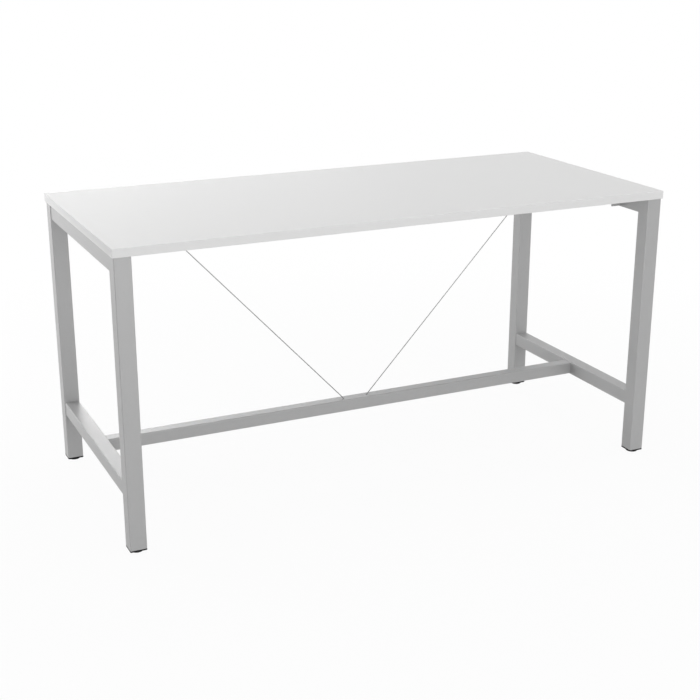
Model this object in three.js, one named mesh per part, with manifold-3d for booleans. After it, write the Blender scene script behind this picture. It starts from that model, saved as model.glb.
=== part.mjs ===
// Standing meeting table: a banded board on two welded end frames, with a foot rail between
// them, a V of thin brace rods in the middle plane and a levelling foot in each leg.
// Millimetres, +Z up. The origin is on the floor under the middle of the top, +X along its length.

import * as THREE from 'three';
import { mergeVertices } from 'three/addons/utils/BufferGeometryUtils.js';
import Module from 'manifold-3d';

const wasm = await Module();
wasm.setup();

// Table top
const TOP_LENGTH = 1800;
const TOP_WIDTH = 800;
const TOP_THICKNESS = 25;
const TABLE_HEIGHT = 900; // with the feet screwed right in
const BAND_THICKNESS = 2;
const BAND_RADIUS = 1;
const TOP_OVERHANG = 4; // top's edge beyond the legs' outer faces

// End frames: the rails stand between the legs, centred on them
const LEG_SIZE = 50;
const RAIL_WIDTH = 45;
const UPPER_RAIL_HEIGHT = 50;
const LOWER_RAIL_HEIGHT = 45;
const LOWER_RAIL_CENTRE = 187.5; // above the floor
const TUBE_WALL = 2;
const TUBE_CORNER = 3; // outer corner radius of every tube
const TUBE_INNER_CORNER = 0.5; // least inner corner radius

// Foot rail, level with the lower end rails
const FOOT_RAIL_SIZE = 40;
const SPIGOT_WALL = 3;
const SPIGOT_LENGTH = 70;
const SPIGOT_SCREW_INSET = 20; // first screw from the lower rail's face
const SPIGOT_SCREW_SPACING = 30;

// Cleats: angles welded on the upper rails, screwed to the top
const CLEAT_LENGTH = 35; // out from the rail
const CLEAT_FLANGE = 60; // along the rail
const CLEAT_PLATE = 3;
const CLEAT_SETBACK = 97; // from the leg's inner face to the cleat's upright face
const CLEAT_REVEAL = 3; // upright's lower edge above the rail's lower face
const CLEAT_SCREW_INSET = 20; // first screw from the upright face
const CLEAT_SCREW_SPACING = 25;

// Brace rods
const ROD_DIAMETER = 3;
const ROD_SETBACK = 180; // from the legs' inner faces to where a rod's axis meets the top's underside
const ROD_APEX_DROP = 5; // where the two axes meet, below the foot rail
const ROD_FOOT = 25; // along the axis from that meeting point to the rod's lower end
const ROD_TIP = 3; // rod beyond its nut
const ANCHOR_END = 15; // anchor block beyond the rods' entries
const ANCHOR_SCREW_INSET = 12; // anchor screw from the block's end
const BRACKET_PLATE = 2.5;
const BRACKET_WIDTH = 30;
const BRACKET_FLANGE = 36;
const BRACKET_DROP = 22; // along the axis from the bracket's tab to the top's underside
const BRACKET_TAIL = 10; // tab beyond the rod
const BRACKET_SCREW_SPACING = 16;
const NUT_FLATS = 5.5;
const NUT_HEIGHT = 4;

// Screws
const TOP_SCREW_DIAMETER = 4.5;
const TOP_SCREW_HEAD = 9;
const TOP_SCREW_HEAD_HEIGHT = 3;
const TOP_SCREW_KEY = 3;
const TOP_SCREW_POINT = 0.4; // radius of the blunt point
const TOP_SCREW_COVER = 8; // board left above the point
const RAIL_SCREW_DIAMETER = 6;
const RAIL_SCREW_HEAD = 11;
const RAIL_SCREW_HEAD_HEIGHT = 3.5;
const RAIL_SCREW_KEY = 4;
const RAIL_SCREW_CHAMFER = 0.6;
const RAIL_SCREW_REACH = 10; // past the foot rail's wall

// Levelling feet
const PAD_DIAMETER = 38;
const PAD_HEIGHT = 6;
const PAD_FLOOR = 2; // pad's material under the stud's head
const PAD_LIP = 1; // rim that traps the stud's head
const PAD_LIP_GRIP = 1; // rim's reach over the head
const PAD_EDGE = 0.8; // bevel round the pad
const KEY_HOLE_DIAMETER = 7; // key access through the pad
const STUD_DIAMETER = 8;
const STUD_HEAD_DIAMETER = 20;
const STUD_LENGTH = 42; // above the head
const STUD_KEY = 4;
const STUD_KEY_DEPTH = 5;
const STUD_CHAMFER = 1;
const CAP_FLANGE = 4.5;
const CAP_WALL = 3;
const CAP_DEPTH = 18; // plug inside the leg
const CAP_RIB = 2.5;
const CAP_RIB_HEIGHT = 14;
const BOSS_WALL = 4;
const BOSS_HEIGHT = 23;

// Fits and steps of the round faces
const SEAT_GAP = 0.3; // between pieces that bear on, or are welded or glued to, one another
const TURN_GAP = 0.4; // round a stud that turns
const CUT_MARGIN = 1; // a cutting tool's reach past the face that it opens
const SOCKET_SHARE = 0.6; // of a screw head's height
const CORNER_STEPS = 2;
const ROUND_STEPS = 12;
const PAD_STEPS = 24;

// Colours and surfaces
const LAMINATE = { color: 0xe9e9e7, roughness: 0.5, metalness: 0 };
const BAND_PLASTIC = { color: 0xe4e4e2, roughness: 0.45, metalness: 0 };
const SILVER_PAINT = { color: 0xb4b5b5, roughness: 0.45, metalness: 0.3 };
const BLACK_PLASTIC = { color: 0x1c1c1d, roughness: 0.6, metalness: 0 };
const ZINC_STEEL = { color: 0xb9bbbd, roughness: 0.35, metalness: 0.9 };

// Places that several pieces share
const topUnderside = TABLE_HEIGHT - TOP_THICKNESS;
const legX = TOP_LENGTH / 2 - TOP_OVERHANG - LEG_SIZE / 2;
const legY = TOP_WIDTH / 2 - TOP_OVERHANG - LEG_SIZE / 2;
const legTop = topUnderside - SEAT_GAP;
const capBottom = PAD_HEIGHT + SEAT_GAP;
const legBottom = capBottom + CAP_FLANGE + SEAT_GAP;
const legInnerY = legY - LEG_SIZE / 2;
const railInnerX = legX - RAIL_WIDTH / 2;
const footRailBottom = LOWER_RAIL_CENTRE - FOOT_RAIL_SIZE / 2;
const footRailBore = FOOT_RAIL_SIZE - 2 * TUBE_WALL;

// Closed geometry as a solid: positions alone, shared corners merged, no empty triangles
function toSolid(geometry) {
  const bare = geometry.clone();
  bare.deleteAttribute('normal');
  bare.deleteAttribute('uv');
  const merged = mergeVertices(bare);
  const corners = merged.index.array;
  const triangles = [];
  for (let i = 0; i < corners.length; i += 3) {
    const [a, b, c] = [corners[i], corners[i + 1], corners[i + 2]];
    if (a !== b && b !== c && c !== a) triangles.push(a, b, c);
  }
  return new wasm.Manifold(new wasm.Mesh({
    numProp: 3,
    vertProperties: new Float32Array(merged.attributes.position.array),
    triVerts: new Uint32Array(triangles),
  }));
}

function toGeometry(solid) {
  const mesh = solid.getMesh();
  const geometry = new THREE.BufferGeometry();
  geometry.setAttribute('position', new THREE.BufferAttribute(mesh.vertProperties, 3));
  geometry.setIndex(new THREE.BufferAttribute(mesh.triVerts, 1));
  geometry.computeVertexNormals();
  return geometry;
}

function cut(geometry, tools) {
  return toGeometry(tools.reduce((solid, tool) => solid.subtract(toSolid(tool)), toSolid(geometry)));
}

function join(geometries) {
  return toGeometry(geometries.map(toSolid).reduce((whole, piece) => whole.add(piece)));
}

// Rectangle with round corners, centred, on a shape or on the path of a hole
function roundRectangle(path, width, height, radius) {
  const x = width / 2 - radius;
  const y = height / 2 - radius;
  path.absarc(x, y, radius, 0, Math.PI / 2, false);
  path.absarc(-x, y, radius, Math.PI / 2, Math.PI, false);
  path.absarc(-x, -y, radius, Math.PI, 1.5 * Math.PI, false);
  path.absarc(x, -y, radius, 1.5 * Math.PI, 2 * Math.PI, false);
  path.closePath();
  return path;
}

// Outline drawn up +Z and centred on its length
function prism(shape, length) {
  const options = { depth: length, bevelEnabled: false, curveSegments: CORNER_STEPS };
  return new THREE.ExtrudeGeometry(shape, options).translate(0, 0, -length / 2);
}

function tube(width, height, wall, length) {
  const inner = Math.max(TUBE_CORNER - wall, TUBE_INNER_CORNER);
  const outline = roundRectangle(new THREE.Shape(), width, height, TUBE_CORNER);
  outline.holes.push(roundRectangle(new THREE.Path(), width - 2 * wall, height - 2 * wall, inner));
  return prism(outline, length);
}

// Profile of [radius, height] pairs turned about +Z
function turned(profile, steps) {
  const points = profile.map(([radius, height]) => new THREE.Vector2(radius, height));
  return new THREE.LatheGeometry(points, steps).rotateX(Math.PI / 2);
}

// Upright cylinder between two heights
function post(diameter, low, high, steps = ROUND_STEPS) {
  const cylinder = new THREE.CylinderGeometry(diameter / 2, diameter / 2, high - low, steps);
  return cylinder.rotateX(Math.PI / 2).translate(0, 0, (low + high) / 2);
}

// Upright six-sided prism between two heights, sized across its flats
function hexagon(flats, low, high) {
  return post(2 * flats / Math.sqrt(3), low, high, 6);
}

// Screw that points up, its head's bearing face at zero height
function screw(head, headHeight, key, diameter, length, tip) {
  const headRadius = head / 2;
  const shank = diameter / 2;
  const crown = headRadius - headHeight / 2;
  const body = turned([
    [0, -headHeight], [crown, -headHeight], [headRadius, -headHeight / 2], [headRadius, 0], [shank, 0],
    [shank, length - (shank - tip)], [tip, length], [0, length],
  ], ROUND_STEPS);
  const socket = hexagon(key, -headHeight - CUT_MARGIN, -headHeight * (1 - SOCKET_SHARE));
  return cut(body, [socket]);
}

function add(parent, name, geometry, finish, x = 0, y = 0, z = 0) {
  const mesh = new THREE.Mesh(geometry, new THREE.MeshStandardMaterial(finish));
  mesh.name = name;
  mesh.position.set(x, y, z);
  parent.add(mesh);
  return mesh;
}

const table = new THREE.Group();
const sides = [{ side: 'left', sx: -1 }, { side: 'right', sx: 1 }];
const corners = sides.flatMap(({ side, sx }) => [
  { corner: `front_${side}`, sx, sy: -1 },
  { corner: `back_${side}`, sx, sy: 1 },
]);

// Screws into the top: each has a plate under the board and a pilot hole in it
const topScrewReach = TOP_THICKNESS - TOP_SCREW_COVER;
const pilotHoles = [];

function addTopScrew(name, plate, x, y) {
  const length = plate + 2 * SEAT_GAP + topScrewReach;
  const geometry = screw(
    TOP_SCREW_HEAD, TOP_SCREW_HEAD_HEIGHT, TOP_SCREW_KEY, TOP_SCREW_DIAMETER, length, TOP_SCREW_POINT);
  add(table, name, geometry, ZINC_STEEL, x, y, topUnderside - plate - 2 * SEAT_GAP);
  const hole = post(
    TOP_SCREW_DIAMETER + 2 * SEAT_GAP, topUnderside - CUT_MARGIN, topUnderside + topScrewReach + SEAT_GAP);
  pilotHoles.push(hole.translate(x, y, 0));
}

// Hole in a plate for a top screw
function plateHole(x, y, low, high) {
  return post(TOP_SCREW_DIAMETER + 2 * SEAT_GAP, low - CUT_MARGIN, high + CUT_MARGIN).translate(x, y, 0);
}

// Screws from below into the foot rail
function addRailScrew(name, x) {
  const length = TUBE_WALL + 2 * SEAT_GAP + RAIL_SCREW_REACH;
  const tip = RAIL_SCREW_DIAMETER / 2 - RAIL_SCREW_CHAMFER;
  const geometry = screw(
    RAIL_SCREW_HEAD, RAIL_SCREW_HEAD_HEIGHT, RAIL_SCREW_KEY, RAIL_SCREW_DIAMETER, length, tip);
  add(table, name, geometry, ZINC_STEEL, x, 0, footRailBottom - SEAT_GAP);
}

// Room that a rail screw needs in the foot rail and in what it holds there
function railScrewHole(x) {
  const top = footRailBottom + TUBE_WALL + RAIL_SCREW_REACH + 2 * SEAT_GAP;
  return post(RAIL_SCREW_DIAMETER + 2 * SEAT_GAP, footRailBottom - CUT_MARGIN, top).translate(x, 0, 0);
}

// End frames: legs and rails
const legTube = tube(LEG_SIZE, LEG_SIZE, TUBE_WALL, legTop - legBottom);
for (const { corner, sx, sy } of corners) {
  add(table, `leg_${corner}`, legTube, SILVER_PAINT, sx * legX, sy * legY, (legTop + legBottom) / 2);
}

const railLength = 2 * (legInnerY - SEAT_GAP);
const upperRail = tube(RAIL_WIDTH, UPPER_RAIL_HEIGHT, TUBE_WALL, railLength).rotateX(Math.PI / 2);
const lowerRail = tube(RAIL_WIDTH, LOWER_RAIL_HEIGHT, TUBE_WALL, railLength).rotateX(Math.PI / 2);
for (const { side, sx } of sides) {
  add(table, `upper_rail_${side}`, upperRail, SILVER_PAINT, sx * legX, 0, legTop - UPPER_RAIL_HEIGHT / 2);
  add(table, `lower_rail_${side}`, lowerRail, SILVER_PAINT, sx * legX, 0, LOWER_RAIL_CENTRE);
}

// Cleats: the upright faces the table's front or back, the flange lies under the board
const cleatX = railInnerX - SEAT_GAP - CLEAT_LENGTH / 2;
const cleatY = legInnerY - CLEAT_SETBACK;
const cleatTop = topUnderside - SEAT_GAP;
const cleatBottom = legTop - UPPER_RAIL_HEIGHT + CLEAT_REVEAL;
const cleatScrewInsets = [CLEAT_SCREW_INSET, CLEAT_SCREW_INSET + CLEAT_SCREW_SPACING];

function cleat() {
  const section = new THREE.Shape();
  section.moveTo(0, cleatBottom);
  section.lineTo(CLEAT_PLATE, cleatBottom);
  section.lineTo(CLEAT_PLATE, cleatTop - CLEAT_PLATE);
  section.lineTo(CLEAT_FLANGE, cleatTop - CLEAT_PLATE);
  section.lineTo(CLEAT_FLANGE, cleatTop);
  section.lineTo(0, cleatTop);
  const yAxis = new THREE.Vector3(0, 1, 0);
  const zAxis = new THREE.Vector3(0, 0, 1);
  const xAxis = new THREE.Vector3(1, 0, 0);
  const angle = prism(section, CLEAT_LENGTH);
  angle.applyMatrix4(new THREE.Matrix4().makeBasis(yAxis, zAxis, xAxis));
  return cut(angle, cleatScrewInsets.map((inset) => plateHole(0, inset, cleatTop - CLEAT_PLATE, cleatTop)));
}

const cleatGeometry = cleat();
for (const { corner, sx, sy } of corners) {
  const mesh = add(table, `top_cleat_${corner}`, cleatGeometry, SILVER_PAINT, sx * cleatX, sy * cleatY);
  if (sy > 0) mesh.rotation.z = Math.PI;
  cleatScrewInsets.forEach((inset, i) => {
    addTopScrew(`cleat_screw_${corner}_${i + 1}`, CLEAT_PLATE, sx * cleatX, sy * (cleatY - inset));
  });
}

// Brace: one rod, nut and bracket, drawn for the right-hand side
const apexHeight = footRailBottom - ROD_APEX_DROP;
const rodRise = topUnderside - apexHeight;
const rodReach = legX - LEG_SIZE / 2 - ROD_SETBACK;
const rodAngle = Math.atan2(rodRise, rodReach);
const rodSpan = Math.hypot(rodRise, rodReach);
const tabDistance = rodSpan - BRACKET_DROP;
const nutDistance = tabDistance + BRACKET_PLATE / 2 + SEAT_GAP;
const rodEnd = nutDistance + NUT_HEIGHT + ROD_TIP;

// Turns a geometry drawn up +Z, its zero at the apex, on to the rod's axis
function onRodAxis(geometry) {
  return geometry.rotateY(Math.PI / 2 - rodAngle).translate(0, 0, apexHeight);
}

// The bracket is a strip with one fold: a flange under the board and a tab square to the rod
const plateMiddle = topUnderside - SEAT_GAP - BRACKET_PLATE / 2;
const along = new THREE.Vector2(Math.cos(rodAngle), Math.sin(rodAngle));
const across = new THREE.Vector2(along.y, -along.x);
const tabCentre = along.clone().multiplyScalar(tabDistance).add(new THREE.Vector2(0, apexHeight));
const foldToRod = (plateMiddle - tabCentre.y) / -across.y;
const fold = tabCentre.clone().addScaledVector(across, -foldToRod);
const bracketScrewX = fold.x - BRACKET_FLANGE / 2;

function braceBracket() {
  const half = BRACKET_PLATE / 2;
  const up = new THREE.Vector2(0, 1);
  const flangeEnd = new THREE.Vector2(fold.x - BRACKET_FLANGE, fold.y);
  const tabEnd = tabCentre.clone().addScaledVector(across, BRACKET_TAIL);
  const mitre = up.clone().add(along).multiplyScalar(half / (1 + up.dot(along)));
  const section = new THREE.Shape([
    flangeEnd.clone().addScaledVector(up, -half),
    fold.clone().sub(mitre),
    tabEnd.clone().addScaledVector(along, -half),
    tabEnd.clone().addScaledVector(along, half),
    fold.clone().add(mitre),
    flangeEnd.clone().addScaledVector(up, half),
  ]);
  const strip = prism(section, BRACKET_WIDTH).rotateX(Math.PI / 2);
  const rodHole = post(
    ROD_DIAMETER + 2 * SEAT_GAP, tabDistance - BRACKET_PLATE, tabDistance + BRACKET_PLATE);
  const screwHoles = [-1, 1].map((sy) => plateHole(
    bracketScrewX, sy * BRACKET_SCREW_SPACING / 2, plateMiddle - half, plateMiddle + half));
  return cut(strip, [onRodAxis(rodHole), ...screwHoles]);
}

// Room for a rod between two distances along its axis
function rodBore(from, to) {
  return onRodAxis(post(ROD_DIAMETER + 2 * SEAT_GAP, from, to));
}

const rodGeometry = onRodAxis(post(ROD_DIAMETER, ROD_FOOT, rodEnd));
const nutBlank = hexagon(NUT_FLATS, nutDistance, nutDistance + NUT_HEIGHT);
const nutBore = rodBore(nutDistance - CUT_MARGIN, nutDistance + NUT_HEIGHT + CUT_MARGIN);
const nutGeometry = cut(onRodAxis(nutBlank), [nutBore]);
const bracketGeometry = braceBracket();
for (const { side, sx } of sides) {
  const brace = new THREE.Group();
  brace.rotation.z = sx > 0 ? 0 : Math.PI;
  table.add(brace);
  add(brace, `brace_rod_${side}`, rodGeometry, SILVER_PAINT);
  add(brace, `brace_nut_${side}`, nutGeometry, ZINC_STEEL);
  add(brace, `brace_bracket_${side}`, bracketGeometry, SILVER_PAINT);
  for (const [place, sy] of [['front', -1], ['back', 1]]) {
    const name = `bracket_screw_${place}_${side}`;
    addTopScrew(name, BRACKET_PLATE, sx * bracketScrewX, sy * BRACKET_SCREW_SPACING / 2);
  }
}

// Anchor block in the foot rail: the rods stand in blind bores
const blockSize = footRailBore - 2 * SEAT_GAP;
const blockTop = LOWER_RAIL_CENTRE + blockSize / 2;
const rodEntryX = (blockTop - apexHeight) / Math.tan(rodAngle);
const blockHalf = rodEntryX + ANCHOR_END;
const anchorScrewX = blockHalf - ANCHOR_SCREW_INSET;
const boreEnd = (LOWER_RAIL_CENTRE + FOOT_RAIL_SIZE / 2 - apexHeight) / Math.sin(rodAngle) + ROD_DIAMETER;
const rodBores = [rodBore(ROD_FOOT - SEAT_GAP, boreEnd)];
rodBores.push(rodBores[0].clone().rotateZ(Math.PI));

const block = new THREE.BoxGeometry(2 * blockHalf, blockSize, blockSize).translate(0, 0, LOWER_RAIL_CENTRE);
const anchorHoles = sides.map(({ sx }) => railScrewHole(sx * anchorScrewX));
add(table, 'brace_anchor', cut(block, [...rodBores, ...anchorHoles]), ZINC_STEEL);
for (const { side, sx } of sides) addRailScrew(`anchor_screw_${side}`, sx * anchorScrewX);

// Spigots on the lower rails, inside the foot rail's ends
const spigotEnd = railInnerX - SEAT_GAP;
const spigotX = spigotEnd - SPIGOT_LENGTH / 2;
const spigotScrewXs = [0, SPIGOT_SCREW_SPACING].map((step) => railInnerX - SPIGOT_SCREW_INSET - step);
const spigotTube = tube(blockSize, blockSize, SPIGOT_WALL, SPIGOT_LENGTH).rotateY(Math.PI / 2);
const spigotHoles = [];
for (const { side, sx } of sides) {
  const holes = spigotScrewXs.map((x) => railScrewHole(sx * x));
  const placed = spigotTube.clone().translate(sx * spigotX, 0, LOWER_RAIL_CENTRE);
  add(table, `foot_rail_spigot_${side}`, cut(placed, holes), SILVER_PAINT);
  spigotScrewXs.forEach((x, i) => addRailScrew(`spigot_screw_${side}_${i + 1}`, sx * x));
  spigotHoles.push(...holes);
}

const footRail = tube(FOOT_RAIL_SIZE, FOOT_RAIL_SIZE, TUBE_WALL, 2 * spigotEnd).rotateY(Math.PI / 2);
footRail.translate(0, 0, LOWER_RAIL_CENTRE);
add(table, 'foot_rail', cut(footRail, [...rodBores, ...anchorHoles, ...spigotHoles]), SILVER_PAINT);

// Board with its pilot holes, and the bands round it
const bandDepth = BAND_THICKNESS + SEAT_GAP;
const boardMiddle = TABLE_HEIGHT - TOP_THICKNESS / 2;
const board = new THREE.BoxGeometry(TOP_LENGTH - 2 * bandDepth, TOP_WIDTH - 2 * bandDepth, TOP_THICKNESS);
add(table, 'top_panel', cut(board.translate(0, 0, boardMiddle), pilotHoles), LAMINATE);

// Band that faces +X, its outer face at zero, with its two outer edges rounded
function edgeBand(length) {
  const radius = Math.min(BAND_RADIUS, BAND_THICKNESS);
  const half = TOP_THICKNESS / 2;
  const section = new THREE.Shape();
  section.moveTo(-BAND_THICKNESS, -half);
  section.absarc(-radius, radius - half, radius, -Math.PI / 2, 0, false);
  section.absarc(-radius, half - radius, radius, 0, Math.PI / 2, false);
  section.lineTo(-BAND_THICKNESS, half);
  section.closePath();
  return prism(section, length).rotateX(Math.PI / 2);
}

const longBand = edgeBand(TOP_LENGTH);
const shortBand = edgeBand(TOP_WIDTH - 2 * bandDepth);
const bands = [
  { place: 'right', geometry: shortBand, distance: TOP_LENGTH / 2, turn: 0 },
  { place: 'back', geometry: longBand, distance: TOP_WIDTH / 2, turn: Math.PI / 2 },
  { place: 'left', geometry: shortBand, distance: TOP_LENGTH / 2, turn: Math.PI },
  { place: 'front', geometry: longBand, distance: TOP_WIDTH / 2, turn: -Math.PI / 2 },
];
for (const { place, geometry, distance, turn } of bands) {
  const x = distance * Math.cos(turn);
  const y = distance * Math.sin(turn);
  add(table, `edge_band_${place}`, geometry, BAND_PLASTIC, x, y, boardMiddle).rotation.z = turn;
}

// Leg cap: a flange under the tube, a ribbed plug inside it and a boss for the stud
function legCap() {
  const plug = LEG_SIZE - 2 * TUBE_WALL - 2 * SEAT_GAP;
  const plugCorner = Math.max(TUBE_CORNER - TUBE_WALL, TUBE_INNER_CORNER);
  const ringOutline = roundRectangle(new THREE.Shape(), plug, plug, plugCorner);
  const opening = plug - 2 * CAP_WALL;
  ringOutline.holes.push(roundRectangle(new THREE.Path(), opening, opening, TUBE_INNER_CORNER));
  const flangeOutline = roundRectangle(new THREE.Shape(), LEG_SIZE, LEG_SIZE, TUBE_CORNER);
  const ringHeight = CAP_DEPTH + SEAT_GAP + CAP_FLANGE / 2;
  const ribHeight = CAP_RIB_HEIGHT + CAP_FLANGE / 2;
  const ribLength = plug - CAP_WALL;
  const plugMiddle = CAP_FLANGE / 2;
  const whole = join([
    prism(flangeOutline, CAP_FLANGE).translate(0, 0, CAP_FLANGE / 2),
    prism(ringOutline, ringHeight).translate(0, 0, plugMiddle + ringHeight / 2),
    new THREE.BoxGeometry(ribLength, CAP_RIB, ribHeight).translate(0, 0, plugMiddle + ribHeight / 2),
    new THREE.BoxGeometry(CAP_RIB, ribLength, ribHeight).translate(0, 0, plugMiddle + ribHeight / 2),
    post(STUD_DIAMETER + 2 * BOSS_WALL, plugMiddle, CAP_FLANGE + BOSS_HEIGHT),
  ]);
  const bore = post(STUD_DIAMETER + 2 * TURN_GAP, -CUT_MARGIN, CAP_FLANGE + BOSS_HEIGHT + CUT_MARGIN);
  return cut(whole, [bore]).translate(0, 0, capBottom);
}

// Stud: a flat head that turns in the pad, with a key socket in it, and a long shank
const headBottom = PAD_FLOOR + SEAT_GAP;
const headTop = PAD_HEIGHT - PAD_LIP - SEAT_GAP;

function footStud() {
  const shank = STUD_DIAMETER / 2;
  const tip = headTop + STUD_LENGTH;
  const body = turned([
    [0, headBottom], [STUD_HEAD_DIAMETER / 2, headBottom], [STUD_HEAD_DIAMETER / 2, headTop],
    [shank, headTop], [shank, tip - STUD_CHAMFER], [shank - STUD_CHAMFER, tip], [0, tip],
  ], ROUND_STEPS);
  return cut(body, [hexagon(STUD_KEY, headBottom - CUT_MARGIN, headBottom + STUD_KEY_DEPTH)]);
}

// Pad: a disc with a pocket for the stud's head, a rim over it and a hole for the key
function footPad() {
  const radius = PAD_DIAMETER / 2;
  const keyHole = KEY_HOLE_DIAMETER / 2;
  const pocket = STUD_HEAD_DIAMETER / 2 + TURN_GAP;
  const rim = STUD_HEAD_DIAMETER / 2 - PAD_LIP_GRIP;
  return turned([
    [keyHole, 0], [radius - PAD_EDGE, 0], [radius, PAD_EDGE], [radius, PAD_HEIGHT - PAD_EDGE],
    [radius - PAD_EDGE, PAD_HEIGHT], [rim, PAD_HEIGHT], [rim, PAD_HEIGHT - PAD_LIP],
    [pocket, PAD_HEIGHT - PAD_LIP], [pocket, PAD_FLOOR], [keyHole, PAD_FLOOR], [keyHole, 0],
  ], PAD_STEPS);
}

const capGeometry = legCap();
const studGeometry = footStud();
const padGeometry = footPad();
for (const { corner, sx, sy } of corners) {
  add(table, `leg_cap_${corner}`, capGeometry, BLACK_PLASTIC, sx * legX, sy * legY);
  add(table, `foot_stud_${corner}`, studGeometry, ZINC_STEEL, sx * legX, sy * legY);
  add(table, `foot_pad_${corner}`, padGeometry, BLACK_PLASTIC, sx * legX, sy * legY);
}

export default table;
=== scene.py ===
"""Dresses the standing meeting table: board, end frames, foot rail, brace and levelling feet.

Metres, +Z up, +X along the top and -Y to the front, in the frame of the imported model.
Each sub-assembly is a class that builds its own pieces and hands each one to the body that carries it.
"""

from __future__ import annotations

import logging
import math
from dataclasses import dataclass
from enum import Enum
from typing import Any, Iterable, Sequence, Union

import bmesh
import bpy
from mathutils import Matrix, Vector

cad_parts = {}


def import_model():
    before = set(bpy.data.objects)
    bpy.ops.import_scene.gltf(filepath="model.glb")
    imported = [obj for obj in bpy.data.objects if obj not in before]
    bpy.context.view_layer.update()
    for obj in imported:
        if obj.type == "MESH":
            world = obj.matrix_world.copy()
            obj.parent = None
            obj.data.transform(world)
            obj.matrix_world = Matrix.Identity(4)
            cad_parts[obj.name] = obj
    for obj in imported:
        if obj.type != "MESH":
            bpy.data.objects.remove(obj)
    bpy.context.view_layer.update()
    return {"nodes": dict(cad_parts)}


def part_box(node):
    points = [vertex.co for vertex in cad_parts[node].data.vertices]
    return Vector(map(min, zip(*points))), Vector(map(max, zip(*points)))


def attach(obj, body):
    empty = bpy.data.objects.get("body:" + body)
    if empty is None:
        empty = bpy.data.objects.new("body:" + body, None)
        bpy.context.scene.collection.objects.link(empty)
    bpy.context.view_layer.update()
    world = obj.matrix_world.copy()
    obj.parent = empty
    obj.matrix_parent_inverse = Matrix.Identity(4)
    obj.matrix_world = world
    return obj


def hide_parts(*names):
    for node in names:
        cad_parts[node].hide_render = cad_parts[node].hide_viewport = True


log = logging.getLogger("standing_table")

MM = 0.001
FULL_TURN = 2 * math.pi
FRAME_BODY = "frame"
SHARP_ANGLE = math.radians(50)
EDGE_STEPS = 2
CORNER_STEPS = 8
ROUND_STEPS = 32
FINE_ROUND_STEPS = 72

Number = Union["Value", float]
Point = tuple[float, float]
Outline = list[Point]
Colour = tuple[float, float, float]


class Slot(Enum):
    """The record's material slots."""

    LAMINATE = "laminate"
    EDGE_BAND = "edge_band"
    SILVER_PAINT = "silver_paint"
    BLACK_PLASTIC = "black_plastic"
    ZINC_STEEL = "zinc_steel"


class Side(Enum):
    """The table's two ends, each with the sign of its X."""

    LEFT = -1
    RIGHT = 1

    @property
    def word(self) -> str:
        """The side as the nodes spell it."""
        return self.name.lower()


class Corner(Enum):
    """The four legs, each with the signs of its X and Y."""

    FRONT_LEFT = (-1, -1)
    BACK_LEFT = (-1, 1)
    FRONT_RIGHT = (1, -1)
    BACK_RIGHT = (1, 1)

    @property
    def word(self) -> str:
        """The corner as the nodes spell it."""
        return self.name.lower()


# Node trees


class Value:
    """An output socket that takes arithmetic signs; each one adds a Math node."""

    def __init__(self, graph: Graph, socket: bpy.types.NodeSocket) -> None:
        """Holds the socket and the graph that it belongs to."""
        self.graph = graph
        self.socket = socket

    def math(self, operation: str, *operands: Number) -> Value:
        """Feeds a Math node.

        Args:
            operation: the Math node's operation.
            operands: what goes into the node, in order.

        Returns:
            The node's result.
        """
        node = self.graph.node("ShaderNodeMath", {"operation": operation}, dict(enumerate(operands)))
        return Value(self.graph, node.outputs[0])

    def __add__(self, other: Number) -> Value:
        """The sum."""
        return self.math("ADD", self, other)

    def __radd__(self, other: Number) -> Value:
        """The sum, with the number first."""
        return self.math("ADD", other, self)

    def __sub__(self, other: Number) -> Value:
        """The difference."""
        return self.math("SUBTRACT", self, other)

    def __rsub__(self, other: Number) -> Value:
        """The difference, with the number first."""
        return self.math("SUBTRACT", other, self)

    def __mul__(self, other: Number) -> Value:
        """The product."""
        return self.math("MULTIPLY", self, other)

    def __rmul__(self, other: Number) -> Value:
        """The product, with the number first."""
        return self.math("MULTIPLY", other, self)

    def __truediv__(self, other: Number) -> Value:
        """The quotient."""
        return self.math("DIVIDE", self, other)

    def __rtruediv__(self, other: Number) -> Value:
        """The quotient, with the number first."""
        return self.math("DIVIDE", other, self)

    def __abs__(self) -> Value:
        """The size without its sign."""
        return self.math("ABSOLUTE", self)


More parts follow.
